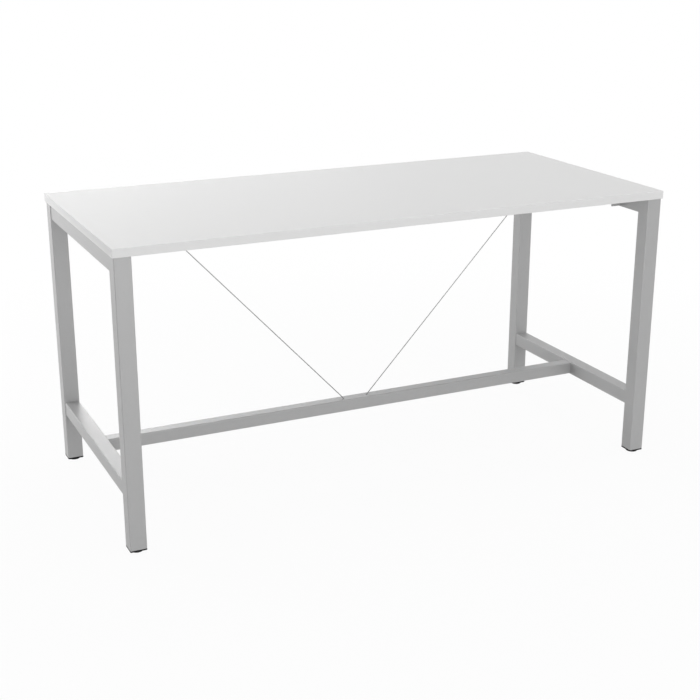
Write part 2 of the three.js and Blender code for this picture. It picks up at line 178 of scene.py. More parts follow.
class Graph:
    """Adds nodes to one node tree and links them."""

    def __init__(self, tree: bpy.types.NodeTree) -> None:
        """Holds the tree."""
        self.tree = tree

    def node(
        self,
        kind: str,
        settings: dict[str, Any] | None = None,
        inputs: dict[str | int, Any] | None = None,
    ) -> bpy.types.Node:
        """Adds one node.

        Args:
            kind: the node's type.
            settings: the node's own properties, which are set first.
            inputs: values or links by the socket's identifier or index.

        Returns:
            The new node.
        """
        node = self.tree.nodes.new(kind)
        for key, setting in (settings or {}).items():
            setattr(node, key, setting)
        for key, given in (inputs or {}).items():
            socket = self.socket(node.inputs, key)
            source = given.socket if isinstance(given, Value) else given
            if isinstance(source, bpy.types.NodeSocket):
                self.tree.links.new(source, socket)
            else:
                socket.default_value = source
        return node

    @staticmethod
    def socket(sockets: Iterable[bpy.types.NodeSocket], key: str | int) -> bpy.types.NodeSocket:
        """The socket with that identifier or index."""
        listed = list(sockets)
        return listed[key] if isinstance(key, int) else next(s for s in listed if s.identifier == key)

    def value(self, node: bpy.types.Node, output: str | int = 0) -> Value:
        """One of a node's outputs, ready for arithmetic."""
        return Value(self, self.socket(node.outputs, output))

    def noise(self, place: Any, scale: float, detail: float = 2.0) -> Value:
        """Soft noise between 0 and 1.

        Args:
            place: the coordinates that the noise is read at.
            scale: cells to the metre.
            detail: octaves of finer noise.

        Returns:
            The noise.
        """
        inputs = {"Vector": place, "Scale": scale, "Detail": detail}
        return self.value(self.node("ShaderNodeTexNoise", None, inputs))

    def cells(self, place: Any, scale: float) -> Value:
        """Small cells, each with its own value between 0 and 1.

        Args:
            place: the coordinates that the cells are read at.
            scale: cells to the metre.

        Returns:
            The cell's value.
        """
        inputs = {"Vector": place, "Scale": scale}
        texture = self.node("ShaderNodeTexVoronoi", {"feature": "F1"}, inputs)
        parts = self.node("ShaderNodeSeparateColor", None, {"Color": texture.outputs["Color"]})
        return self.value(parts)

    def tint(self, factor: Number, first: Colour, second: Colour) -> bpy.types.NodeSocket:
        """A colour between two.

        Args:
            factor: 0 for the first colour, 1 for the second.
            first: linear colour.
            second: linear colour.

        Returns:
            The mixed colour's socket.
        """
        inputs = {"Factor_Float": factor, "A_Color": (*first, 1.0), "B_Color": (*second, 1.0)}
        node = self.node("ShaderNodeMix", {"data_type": "RGBA"}, inputs)
        return self.socket(node.outputs, "Result_Color")

    def bump(self, height: Number, distance: float, below: Any = None) -> bpy.types.NodeSocket:
        """A relief in the surface's normal.

        Args:
            height: relief from 0 to 1.
            distance: the relief's depth in metres.
            below: a relief that this one lies on.

        Returns:
            The normal's socket.
        """
        inputs = {"Height": height, "Distance": distance}
        if below is not None:
            inputs["Normal"] = below
        return self.node("ShaderNodeBump", None, inputs).outputs[0]


# Finishes


@dataclass(frozen=True)
class Finish:
    """A surface whose tone, gloss and relief vary as the real one's do.

    Colours are linear. Scales are cells to the metre, depths are metres and shares are fractions.
    """

    slot: Slot
    colour: Colour
    roughness: float
    metallic: float = 0.0
    specular: float = 0.5
    tone_scale: float = 4.0
    tone_share: float = 0.01
    grain_scale: float = 1500.0
    grain_share: float = 0.02
    gloss_share: float = 0.06
    relief_scale: float = 700.0
    relief_depth: float = 0.00002

    def material(self) -> bpy.types.Material:
        """The finish's material, made on first use."""
        name = f"{self.slot.value}_finish"
        made = bpy.data.materials.get(name)
        if made is None:
            made = bpy.data.materials.new(name)
            made.use_nodes = True
            self.draw(Graph(made.node_tree), made.node_tree.nodes["Principled BSDF"])
        return made

    def draw(self, graph: Graph, shader: bpy.types.Node) -> None:
        """Feeds the shader.

        Args:
            graph: the material's graph.
            shader: its Principled shader.
        """
        place = graph.node("ShaderNodeTexCoord").outputs["Object"]
        shader.inputs["Metallic"].default_value = self.metallic
        shader.inputs["Specular IOR Level"].default_value = self.specular
        graph.tree.links.new(self.tone(graph, place), shader.inputs["Base Color"])
        graph.tree.links.new(self.gloss(graph, place).socket, shader.inputs["Roughness"])
        graph.tree.links.new(self.relief(graph, place), shader.inputs["Normal"])

    def tone(self, graph: Graph, place: Any) -> bpy.types.NodeSocket:
        """Colour with broad clouds and a fine grain.

        Args:
            graph: the material's graph.
            place: the surface's coordinates.

        Returns:
            The colour's socket.
        """
        clouds = graph.noise(place, self.tone_scale) - 0.5
        grain = self.grain(graph, place) - 0.5
        spread = self.tone_share + self.grain_share
        factor = 0.5 + (clouds * self.tone_share + grain * self.grain_share) / spread
        dark = tuple(part * (1 - spread) for part in self.colour)
        light = tuple(part * (1 + spread) for part in self.colour)
        return graph.tint(factor, dark, light)

    def grain(self, graph: Graph, place: Any) -> Value:
        """The colour's fine part, between 0 and 1."""
        return graph.noise(place, self.grain_scale)

    def gloss(self, graph: Graph, place: Any) -> Value:
        """Roughness with soft smears.

        Args:
            graph: the material's graph.
            place: the surface's coordinates.

        Returns:
            The roughness.
        """
        smears = graph.noise(place, self.tone_scale * 6, 4.0) - 0.5
        return self.roughness + smears * self.gloss_share

    def relief(self, graph: Graph, place: Any) -> bpy.types.NodeSocket:
        """Soft dimples all over.

        Args:
            graph: the material's graph.
            place: the surface's coordinates.

        Returns:
            The normal's socket.
        """
        return graph.bump(graph.noise(place, self.relief_scale), self.relief_depth)


@dataclass(frozen=True)
class Laminate(Finish):
    """White melamine facing: a pearl emboss of shallow pits between finer ones."""

    pit_scale: float = 420.0
    pit_depth: float = 0.00001

    def relief(self, graph: Graph, place: Any) -> bpy.types.NodeSocket:
        """Pits pressed by the facing's plate.

        Args:
            graph: the material's graph.
            place: the surface's coordinates.

        Returns:
            The normal's socket.
        """
        inputs = {"Vector": place, "Scale": self.pit_scale}
        settings = {"feature": "SMOOTH_F1"}
        pits = graph.value(graph.node("ShaderNodeTexVoronoi", settings, inputs), "Distance")
        pearl = graph.bump(pits, self.pit_depth)
        return graph.bump(graph.noise(place, self.relief_scale), self.relief_depth, pearl)


@dataclass(frozen=True)
class PowderCoat(Finish):
    """Silver-grey powder coat: orange peel with metal flake under the skin."""

    def grain(self, graph: Graph, place: Any) -> Value:
        """A speckle of darker and brighter flakes."""
        return graph.cells(place, self.grain_scale)


@dataclass(frozen=True)
class ZincPlate(Finish):
    """Bright zinc plate: a spangle of small crystals with a warm and a cool tint."""

    spangle_scale: float = 900.0
    warm: Colour = (0.62, 0.60, 0.55)

    def tone(self, graph: Graph, place: Any) -> bpy.types.NodeSocket:
        """Colour that changes from crystal to crystal.

        Args:
            graph: the material's graph.
            place: the surface's coordinates.

        Returns:
            The colour's socket.
        """
        return graph.tint(graph.cells(place, self.spangle_scale), self.colour, self.warm)


@dataclass(frozen=True)
class MouldedPlastic(Finish):
    """Black moulded plastic: spark texture, with pale dust near the floor."""

    dust: Colour = (0.05, 0.049, 0.047)
    dust_height: float = 0.003
    dust_scale: float = 180.0
    dust_share: float = 0.5

    def tone(self, graph: Graph, place: Any) -> bpy.types.NodeSocket:
        """Colour that pales towards the floor in patches.

        Args:
            graph: the material's graph.
            place: the surface's coordinates.

        Returns:
            The colour's socket.
        """
        parts = graph.node("ShaderNodeSeparateXYZ", None, {"Vector": place})
        height = graph.value(parts, "Z")
        fade = 1 - height / self.dust_height
        near_floor = fade.math("MAXIMUM", fade, 0.0)
        patches = graph.noise(place, self.dust_scale)
        return graph.tint(near_floor * patches * self.dust_share, self.colour, self.dust)


LAMINATE = Laminate(
    Slot.LAMINATE,
    (0.74, 0.74, 0.738),
    roughness=0.58,
    specular=0.22,
    tone_share=0.006,
    grain_share=0.008,
    relief_scale=1600.0,
    relief_depth=0.000006,
)
EDGE_BAND = Finish(
    Slot.EDGE_BAND,
    (0.765, 0.765, 0.763),
    roughness=0.62,
    specular=0.12,
    tone_share=0.006,
    grain_share=0.008,
    relief_scale=1200.0,
    relief_depth=0.000008,
)
SILVER_PAINT = PowderCoat(
    Slot.SILVER_PAINT,
    (0.402, 0.402, 0.403),
    roughness=0.42,
    metallic=0.12,
    specular=0.5,
    tone_share=0.02,
    grain_scale=2600.0,
    grain_share=0.16,
    relief_scale=650.0,
    relief_depth=0.00003,
)
BLACK_PLASTIC = MouldedPlastic(
    Slot.BLACK_PLASTIC,
    (0.009, 0.009, 0.0095),
    roughness=0.6,
    specular=0.12,
    relief_scale=2400.0,
    relief_depth=0.00004,
)
ZINC_STEEL = ZincPlate(
    Slot.ZINC_STEEL,
    (0.56, 0.58, 0.61),
    roughness=0.32,
    metallic=1.0,
    relief_scale=1800.0,
    relief_depth=0.00001,
)


# Meshes


def round_rectangle(width: float, height: float, radius: float, steps: int = CORNER_STEPS) -> Outline:
    """A rectangle with round corners, centred.

    Args:
        width: along the first axis.
        height: along the second axis.
        radius: of the corners.
        steps: of each corner.

    Returns:
        The points, anticlockwise.
    """
    points = []
    for quarter in range(4):
        start = quarter * math.pi / 2
        middle = start + math.pi / 4
        centre_x = math.copysign(width / 2 - radius, math.cos(middle))
        centre_y = math.copysign(height / 2 - radius, math.sin(middle))
        for step in range(steps + 1):
            angle = start + step / steps * math.pi / 2
            points.append((centre_x + radius * math.cos(angle), centre_y + radius * math.sin(angle)))
    return points


def quarter_turn(steps: int) -> list[float]:
    """Angles from zero to a right angle in that many steps."""
    return [math.pi / 2 * step / steps for step in range(steps + 1)]


def round_match(outline: Outline, radius: float) -> Outline:
    """A circle with one point in the direction of each of the outline's points."""
    return [(radius * x / math.hypot(x, y), radius * y / math.hypot(x, y)) for x, y in outline]


def hexagon(flats: float) -> Outline:
    """A hexagon of that size across its flats."""
    reach = flats / math.sqrt(3)
    return [(reach * math.cos(i * math.pi / 3), reach * math.sin(i * math.pi / 3)) for i in range(6)]


def bent_strip(start: Vector, fold: Vector, end: Vector, thickness: float, bend: float) -> Outline:
    """The section of a strip with one fold.

    Args:
        start: one end of the middle line.
        fold: where the middle line's two straights would meet.
        end: the other end.
        thickness: of the strip.
        bend: radius inside the fold.

    Returns:
        The section's points.
    """
    first = (fold - start).normalized()
    second = (end - fold).normalized()
    turn = first.angle_signed(second)
    hand = math.copysign(1.0, turn)
    inward = Vector((first.y, -first.x)) * hand
    reach = bend + thickness / 2
    centre = fold - first * reach * math.tan(abs(turn) / 2) + inward * reach
    edges = []
    for offset in (-thickness / 2, thickness / 2):
        spoke = -inward * (reach + offset)
        edge = [start - inward * offset]
        for step in range(CORNER_STEPS + 1):
            swing = Matrix.Rotation(-turn * step / CORNER_STEPS, 2)
            edge.append(centre + swing @ spoke)
        far = Matrix.Rotation(-turn, 2) @ -inward
        edge.append(end + far * offset)
        edges.append(edge)
    return [(p.x, p.y) for p in edges[0] + edges[1][::-1]]


def axes(x_axis: Sequence[float], y_axis: Sequence[float], z_axis: Sequence[float]) -> Matrix:
    """The matrix that lays a shape's own axes along these."""
    return Matrix((x_axis, y_axis, z_axis)).transposed().to_4x4()


ALONG_X = axes((0, 1, 0), (0, 0, 1), (1, 0, 0))
ALONG_Y = axes((1, 0, 0), (0, 0, 1), (0, -1, 0))
UPRIGHT = Matrix.Identity(4)


class Solid:
    """A mesh that grows by closed shapes and ends as an object at the origin."""

    def __init__(self) -> None:
        """Starts with nothing."""
        self.mesh = bmesh.new()

    def ring(self, outline: Outline, height: float, place: Matrix) -> list[bmesh.types.BMVert]:
        """Adds an outline's corners at one height.

        Args:
            outline: points in the shape's own plane.
            height: along the shape's own axis.
            place: where the shape's axes lie.

        Returns:
            The new corners.
        """
        return [self.mesh.verts.new(place @ Vector((x, y, height))) for x, y in outline]

    def skin(self, lower: list[bmesh.types.BMVert], upper: list[bmesh.types.BMVert]) -> None:
        """Adds a band of faces between two rings."""
        for i in range(len(lower)):
            self.mesh.faces.new((lower[i - 1], lower[i], upper[i], upper[i - 1]))

    def stack(self, layers: Sequence[tuple[Outline, float]], place: Matrix = UPRIGHT) -> Solid:
        """Adds a closed shape that runs through outlines of as many points.

        Args:
            layers: each outline with its height along the shape's own axis.
            place: where the shape's axes lie.

        Returns:
            The solid itself.
        """
        rings = [self.ring(outline, height, place) for outline, height in layers]
        for lower, upper in zip(rings, rings[1:]):
            self.skin(lower, upper)
        self.mesh.faces.new(rings[0])
        self.mesh.faces.new(rings[-1])
        return self

    def prism(self, outline: Outline, low: float, high: float, place: Matrix = UPRIGHT) -> Solid:
        """Adds an outline drawn along its axis from one height to another."""
        return self.stack([(outline, low), (outline, high)], place)

    def tube(
        self, outer: Outline, inner: Outline, low: float, high: float, place: Matrix = UPRIGHT
    ) -> Solid:
        """Adds a hollow prism with open ends.

        Args:
            outer: the outside's points.
            inner: the inside's points, as many.
            low: start along its axis.
            high: end along its axis.
            place: where the shape's axes lie.

        Returns:
            The solid itself.
        """
        around = ((outer, low), (outer, high), (inner, high), (inner, low))
        rings = [self.ring(outline, height, place) for outline, height in around]
        for i in range(len(rings)):
            self.skin(rings[i - 1], rings[i])
        return self

    def turned(self, profile: Outline, steps: int = ROUND_STEPS, place: Matrix = UPRIGHT) -> Solid:
        """Adds a profile turned about its axis.

        Args:
            profile: (radius, height) pairs, from axis to axis or, with no zero radius, round a ring.
            steps: round the axis.
            place: where the shape's axes lie.

        Returns:
            The solid itself.
        """
        spokes = [(math.cos(FULL_TURN * i / steps), math.sin(FULL_TURN * i / steps)) for i in range(steps)]
        rings = []
        for radius, height in profile:
            points = [(radius * x, radius * y) for x, y in spokes] if radius else [(0.0, 0.0)]
            rings.append(self.ring(points, height, place))
        closed = all(radius for radius, _ in profile)
        for i in range(0 if closed else 1, len(rings)):
            self.span(rings[i - 1], rings[i])
        return self

    def span(self, lower: list[bmesh.types.BMVert], upper: list[bmesh.types.BMVert]) -> None:
        """Adds the faces between two rings, of which one may be a single point on the axis."""
        if len(lower) == len(upper):
            self.skin(lower, upper)
            return
        tip, rim = (lower, upper) if len(lower) == 1 else (upper, lower)
        for i in range(len(rim)):
            self.mesh.faces.new((tip[0], rim[i - 1], rim[i]))

    def round_off(self, radius: float, edges: Iterable[bmesh.types.BMEdge], steps: int) -> None:
        """Rounds some of the edges.

        Args:
            radius: of the rounding.
            edges: the edges to round.
            steps: across the rounding.
        """
        bmesh.ops.bevel(
            self.mesh, geom=list(edges), offset=radius, segments=steps, profile=0.5, affect="EDGES"
        )

    def shape(self, name: str) -> bpy.types.Object:
        """Turns the mesh into an object at the origin with its faces outwards."""
        bmesh.ops.recalc_face_normals(self.mesh, faces=self.mesh.faces)
        data = bpy.data.meshes.new(name)
        self.mesh.to_mesh(data)
        self.mesh.free()
        made = bpy.data.objects.new(name, data)
        bpy.context.scene.collection.objects.link(made)
        return made


@dataclass(frozen=True)
class BoxTube:
    """Welded steel tube with round corners, open at its ends."""

    wall: float = 2.0 * MM
    corner: float = 3.0 * MM
    inner_corner: float = 1.0 * MM

    def draw(self, name: str, size: Point, low: float, high: float, place: Matrix) -> bpy.types.Object:
        """Draws one length of tube.

        Args:
            name: of the piece.
            size: its width and height outside.
            low: start along its axis.
            high: end along its axis.
            place: where its axes lie.

        Returns:
            The piece.
        """
        outer = round_rectangle(*size, self.corner)
        inner = round_rectangle(size[0] - 2 * self.wall, size[1] - 2 * self.wall, self.inner_corner)
        return Solid().tube(outer, inner, low, high, place).shape(name)


def settle(piece: bpy.types.Object) -> None:
    """Makes what a piece's modifiers give its own plain mesh."""
    graph = bpy.context.evaluated_depsgraph_get()
    made = bpy.data.meshes.new_from_object(
        piece.evaluated_get(graph), preserve_all_data_layers=True, depsgraph=graph
    )
    former = piece.data
    piece.modifiers.clear()
    piece.data = made
    made.name = piece.name
    bpy.data.meshes.remove(former)


def cut(piece: bpy.types.Object, tool: bpy.types.Object, operation: str = "DIFFERENCE") -> None:
    """Cuts a piece with a tool, which is used up.

    Args:
        piece: what is cut.
        tool: the closed shape that cuts it.
        operation: the Boolean modifier's operation.
    """
    modifier = piece.modifiers.new("Cut", "BOOLEAN")
    modifier.operation = operation
    modifier.solver = "EXACT"
    modifier.object = tool
    settle(piece)
    used = tool.data
    bpy.data.objects.remove(tool)
    bpy.data.meshes.remove(used)


def smooth(piece: bpy.types.Object, edge: float = 0.0) -> None:
    """Eases a piece's sharp edges and shades it smooth between them.

    Args:
        piece: what is shaded.
        edge: how wide its eased edges are.
    """
    if edge:
        bevel = piece.modifiers.new("Ease", "BEVEL")
        bevel.width = edge
        bevel.segments = EDGE_STEPS
        bevel.limit_method = "ANGLE"
        bevel.angle_limit = SHARP_ANGLE
        settle(piece)
    piece.data.shade_smooth()
    piece.data.set_sharp_from_angle(angle=SHARP_ANGLE)
    normals = piece.modifiers.new("Flats", "WEIGHTED_NORMAL")
    normals.keep_sharp = True
    settle(piece)


def copy_to(piece: bpy.types.Object, name: str, x: float, y: float) -> bpy.types.Object:
    """A copy of a piece whose own place is moved in its mesh.

    Args:
        piece: the pattern, drawn on the Z axis.
        name: of the copy.
        x: where the copy stands.
        y: where the copy stands.

    Returns:
        The copy.
    """
    data = piece.data.copy()
    data.name = name
    data.transform(Matrix.Translation((x, y, 0)))
    made = bpy.data.objects.new(name, data)
    bpy.context.scene.collection.objects.link(made)
    return made


def discard(piece: bpy.types.Object) -> None:
    """Removes a pattern and its mesh."""
    data = piece.data
    bpy.data.objects.remove(piece)
    bpy.data.meshes.remove(data)


def dress(piece: bpy.types.Object, finish: Finish) -> None:
    """Gives a piece its finish alone."""
    piece.data.materials.clear()
    piece.data.materials.append(finish.material())


def hand_over(piece: bpy.types.Object, finish: Finish, body: str, *nodes: str) -> None:
    """Dresses a piece and gives it to the body that carries it.

    Args:
        piece: the finished shape.
        finish: its surface.
        body: the body that it moves with.
        nodes: the model's nodes that it stands for.
    """
    dress(piece, finish)
    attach(piece, body)
    if nodes:
        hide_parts(*nodes)
    log.info("%s: %d faces, %s, on %s", piece.name, len(piece.data.polygons), finish.slot.value, body)


# Shapes that repeat or follow a path


class ShapeTree:
    """A Geometry Nodes tree with named sizes, run once on a base to leave a plain mesh."""

    def __init__(self, name: str) -> None:
        """Starts the tree with a base going in and a shape coming out."""
        self.tree = bpy.data.node_groups.new(name, "GeometryNodeTree")
        self.graph = Graph(self.tree)
        self.keys: dict[str, str] = {}
        self.tree.interface.new_socket("Base", in_out="INPUT", socket_type="NodeSocketGeometry")
        self.tree.interface.new_socket("Shape", in_out="OUTPUT", socket_type="NodeSocketGeometry")
        self.entry = self.graph.node("NodeGroupInput")
        self.base = self.entry.outputs["Base"]

    def size(self, name: str, kind: str = "NodeSocketFloat") -> Value:
        """Adds a named input.

        Args:
            name: of the input.
            kind: its socket's type.

        Returns:
            The input, ready for arithmetic.
        """
        item = self.tree.interface.new_socket(name, in_out="INPUT", socket_type=kind)
        self.keys[name] = item.identifier
        return Value(self.graph, self.entry.outputs[name])

    def close(self, shape: Any) -> None:
        """Ends the tree in a plain, smooth mesh with its finish on it.

        Args:
            shape: the socket that carries the shape.
        """
        finish = self.size("Finish", "NodeSocketMaterial")
        plain = self.graph.node("GeometryNodeRealizeInstances", None, {"Geometry": shape})
        shaded = self.graph.node("GeometryNodeSetShadeSmooth", None, {"Geometry": plain.outputs[0]})
        inputs = {"Geometry": shaded.outputs[0], "Material": finish}
        dressed = self.graph.node("GeometryNodeSetMaterial", None, inputs)
        self.graph.node("NodeGroupOutput", None, {0: dressed.outputs[0]})

    def run(self, name: str, base: Solid, finish: Finish, **sizes: float) -> bpy.types.Object:
        """Makes one piece.

        Args:
            name: of the piece.
            base: what the tree works on.
            finish: its surface.
            sizes: the named inputs, with _ for a space.

        Returns:
            The piece, with the tree's result as its plain mesh.
        """
        piece = base.shape(name)
        modifier = piece.modifiers.new(self.tree.name, "NODES")
        modifier.node_group = self.tree
        modifier[self.keys["Finish"]] = finish.material()
        for key, given in sizes.items():
            modifier[self.keys[key.replace("_", " ")]] = given
        settle(piece)
        return piece


class WeldTree(ShapeTree):
    """A weld along the base's edges: a round bead that swells with each ripple."""

    SIDES = 12

    def __init__(self) -> None:
        """Builds the tree."""
        super().__init__("weld_bead")
        radius = self.size("bead radius")
        pitch = self.size("ripple pitch")
        swell = self.size("ripple swell")
        step = self.size("step")
        seam = self.graph.node("GeometryNodeMeshToCurve", None, {"Mesh": self.base})
        inputs = {"Curve": seam.outputs[0], "Length": step}
        even = self.graph.node("GeometryNodeResampleCurve", {"mode": "LENGTH"}, inputs)
        along = self.graph.value(self.graph.node("GeometryNodeSplineParameter"), "Length")
        wave = along * FULL_TURN / pitch
        girth = 1 + swell * wave.math("SINE", wave)
        inputs = {"Resolution": self.SIDES, "Radius": radius}
        section = self.graph.node("GeometryNodeCurvePrimitiveCircle", {"mode": "RADIUS"}, inputs)
        inputs = {"Curve": even.outputs[0], "Profile Curve": section.outputs[0], "Scale": girth}
        bead = self.graph.node("GeometryNodeCurveToMesh", None, {**inputs, "Fill Caps": True})
        self.close(bead.outputs[0])


class ThreadTree(ShapeTree):
    """A round bar about Z, from zero up, with a right-hand thread cut in its side."""

    def __init__(self) -> None:
        """Builds the tree."""
        super().__init__("thread")
        radius = self.size("radius")
        length = self.size("length")
        pitch = self.size("pitch")
        depth = self.size("depth")
        around = self.size("around", "NodeSocketInt")
        along = self.size("along", "NodeSocketInt")
        inputs = {"Vertices": around, "Side Segments": along, "Radius": radius, "Depth": length}
        bar = self.graph.node("GeometryNodeMeshCylinder", {"fill_type": "NGON"}, inputs)
        spot = self.graph.node("GeometryNodeInputPosition").outputs[0]
        parts = self.graph.node("ShaderNodeSeparateXYZ", None, {"Vector": spot})
        x, y, z = (self.graph.value(parts, i) for i in range(3))
        turn = y.math("ARCTAN2", y, x) / FULL_TURN
        phase = z / pitch - turn
        groove = abs(phase.math("FRACT", phase) * 2 - 1)
        to_end = (length / 2 - abs(z)) / pitch
        lead = 1 - to_end.math("MINIMUM", to_end, 1.0)
        sunk = groove.math("MAXIMUM", groove, lead)
        shrink = 1 - depth * sunk / radius
        inputs = {"X": x * shrink, "Y": y * shrink, "Z": z + length / 2}
        moved = self.graph.node("ShaderNodeCombineXYZ", None, inputs)
        inputs = {"Geometry": bar.outputs[0], "Position": moved.outputs[0]}
        self.close(self.graph.node("GeometryNodeSetPosition", None, inputs).outputs[0])


class ScrewTree(ShapeTree):
    """A button-head screw at each of the base's points: head below the point, shank above it."""

    SIDES = 28
    KEY_SIDES = 6
    KEY_DEPTH_SHARE = 0.6
    CROWN_SHARE = 0.5
    TIP_SHARE = 0.9

    def __init__(self) -> None:
        """Builds the tree."""
        super().__init__("button_screws")
        head = self.size("head radius")
        height = self.size("head height")
        shank = self.size("shank radius")
        length = self.size("length")
        key = self.size("key reach")
        seed = self.size("seed", "NodeSocketInt")
        crown = head - height * self.CROWN_SHARE
        rim = height * (1 - self.CROWN_SHARE)
        dome = self.layer(-1 * height, height - rim, crown, head)
        collar = self.layer(-1 * rim, rim, head, head)
        bolt = self.layer(0.0, length, shank, shank * self.TIP_SHARE)
        whole = self.graph.node("GeometryNodeMeshBoolean", {"operation": "UNION", "solver": "EXACT"})
        for part in (dome, collar, bolt):
            self.graph.tree.links.new(part, whole.inputs["Mesh 2"])
        depth = height * self.KEY_DEPTH_SHARE
        socket = self.layer(-1 * height - depth, 2 * depth, key, key, self.KEY_SIDES)
        inputs = {"Mesh 1": whole.outputs[0], "Mesh 2": socket}
        settings = {"operation": "DIFFERENCE", "solver": "EXACT"}
        screw = self.graph.node("GeometryNodeMeshBoolean", settings, inputs)
        inputs = {"Min_001": 0.0, "Max_001": FULL_TURN, "Seed": seed}
        turn = self.graph.node("FunctionNodeRandomValue", {"data_type": "FLOAT"}, inputs)
        lay = self.graph.node("ShaderNodeCombineXYZ", None, {"Z": turn.outputs[1]})
        inputs = {"Points": self.base, "Instance": screw.outputs[0], "Rotation": lay.outputs[0]}
        self.close(self.graph.node("GeometryNodeInstanceOnPoints", None, inputs).outputs[0])

    def layer(
        self, low: Number, depth: Number, bottom: Number, top: Number, sides: int = SIDES
    ) -> bpy.types.NodeSocket:
        """Adds a round layer of the screw.

        Args:
            low: its lower face's height.
            depth: its height.
            bottom: its radius below.
            top: its radius above.
            sides: round it.

        Returns:
            The layer's socket.
        """
        inputs = {"Vertices": sides, "Radius Top": top, "Radius Bottom": bottom, "Depth": depth}
        layer = self.graph.node("GeometryNodeMeshCone", {"fill_type": "NGON"}, inputs)
        lift = self.graph.node("ShaderNodeCombineXYZ", None, {"Z": low})
        inputs = {"Geometry": layer.outputs[0], "Translation": lift.outputs[0]}
        return self.graph.node("GeometryNodeTransform", None, inputs).outputs[0]


# Sub-assemblies


@dataclass
class TableTop:
    """The laminated board, which the model already holds, and the bands round its edges."""

    edge_radius: float = 1.0 * MM
    corner_radius: float = 1.8 * MM
    edge_steps: int = 4

    def build(self, nodes: dict[str, bpy.types.Object]) -> None:
        """Dresses the board and wraps it.

        Args:
            nodes: the model's nodes.
        """
        dress(nodes["top_panel"], LAMINATE)
        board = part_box("top_panel")[1]
        wraps = {
            "front": axes((1, 0, 0), (0, -1, 0), (0, 0, 1)),
            "back": axes((1, 0, 0), (0, 1, 0), (0, 0, 1)),
            "left": axes((0, 1, 0), (-1, 0, 0), (0, 0, 1)),
            "right": axes((0, 1, 0), (1, 0, 0), (0, 0, 1)),
        }
        for place, lay in wraps.items():
            node = f"edge_band_{place}"
            low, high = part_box(node)
            long = place in ("front", "back")
            length = high.x - low.x if long else high.y - low.y
            face = board.y if long else board.x
            depth = (max(high.y, -low.y) if long else max(high.x, -low.x)) - face
            corner = self.corner_radius if long else 0.0
            layers = self.layers(length, depth, corner, low.z, high.z)
            place = lay @ Matrix.Translation((0, face, 0))
            piece = Solid().stack(layers, place).shape(f"{node}_wrap")
            smooth(piece)
            hand_over(piece, EDGE_BAND, FRAME_BODY, node)

    def layers(
        self, length: float, depth: float, corner: float, low: float, high: float
    ) -> list[tuple[Outline, float]]:
        """A band's outlines with its outer edges rounded, along X with the board's edge at zero Y.

        Args:
            length: along the board's edge.
            depth: out from the board's edge.
            corner: radius of the upright corners at its ends, or zero for square ends.
            low: its lower face.
            high: its upper face.

        Returns:
            Each outline with its height.
        """
        below = []
        for angle in quarter_turn(self.edge_steps):
            inset = self.edge_radius * (1 - math.sin(angle))
            rise = self.edge_radius * (1 - math.cos(angle))
            below.append((self.plan(length, depth, corner, inset), rise))
        lower = [(outline, low + rise) for outline, rise in below]
        upper = [(outline, high - rise) for outline, rise in below[::-1]]
        return lower + upper

    def plan(self, length: float, depth: float, corner: float, inset: float) -> Outline:
        """A band's outline at one height.

        Args:
            length: along the board's edge.
            depth: out from the board's edge.
            corner: radius at its ends, or zero for square ends.
            inset: how far the outer side stands back at this height.

        Returns:
            The outline's points.
        """
        half = length / 2
        outer = depth - inset
        if not corner:
            return [(-half, 0.0), (half, 0.0), (half, outer), (-half, outer)]
        radius = corner - inset
        right = []
        for angle in quarter_turn(self.edge_steps):
            x = half - corner + radius * math.cos(angle)
            right.append((x, depth - corner + radius * math.sin(angle)))
        left = [(-x, y) for x, y in right[::-1]]
        return [(inset - half, 0.0), (half - inset, 0.0), *right, *left]


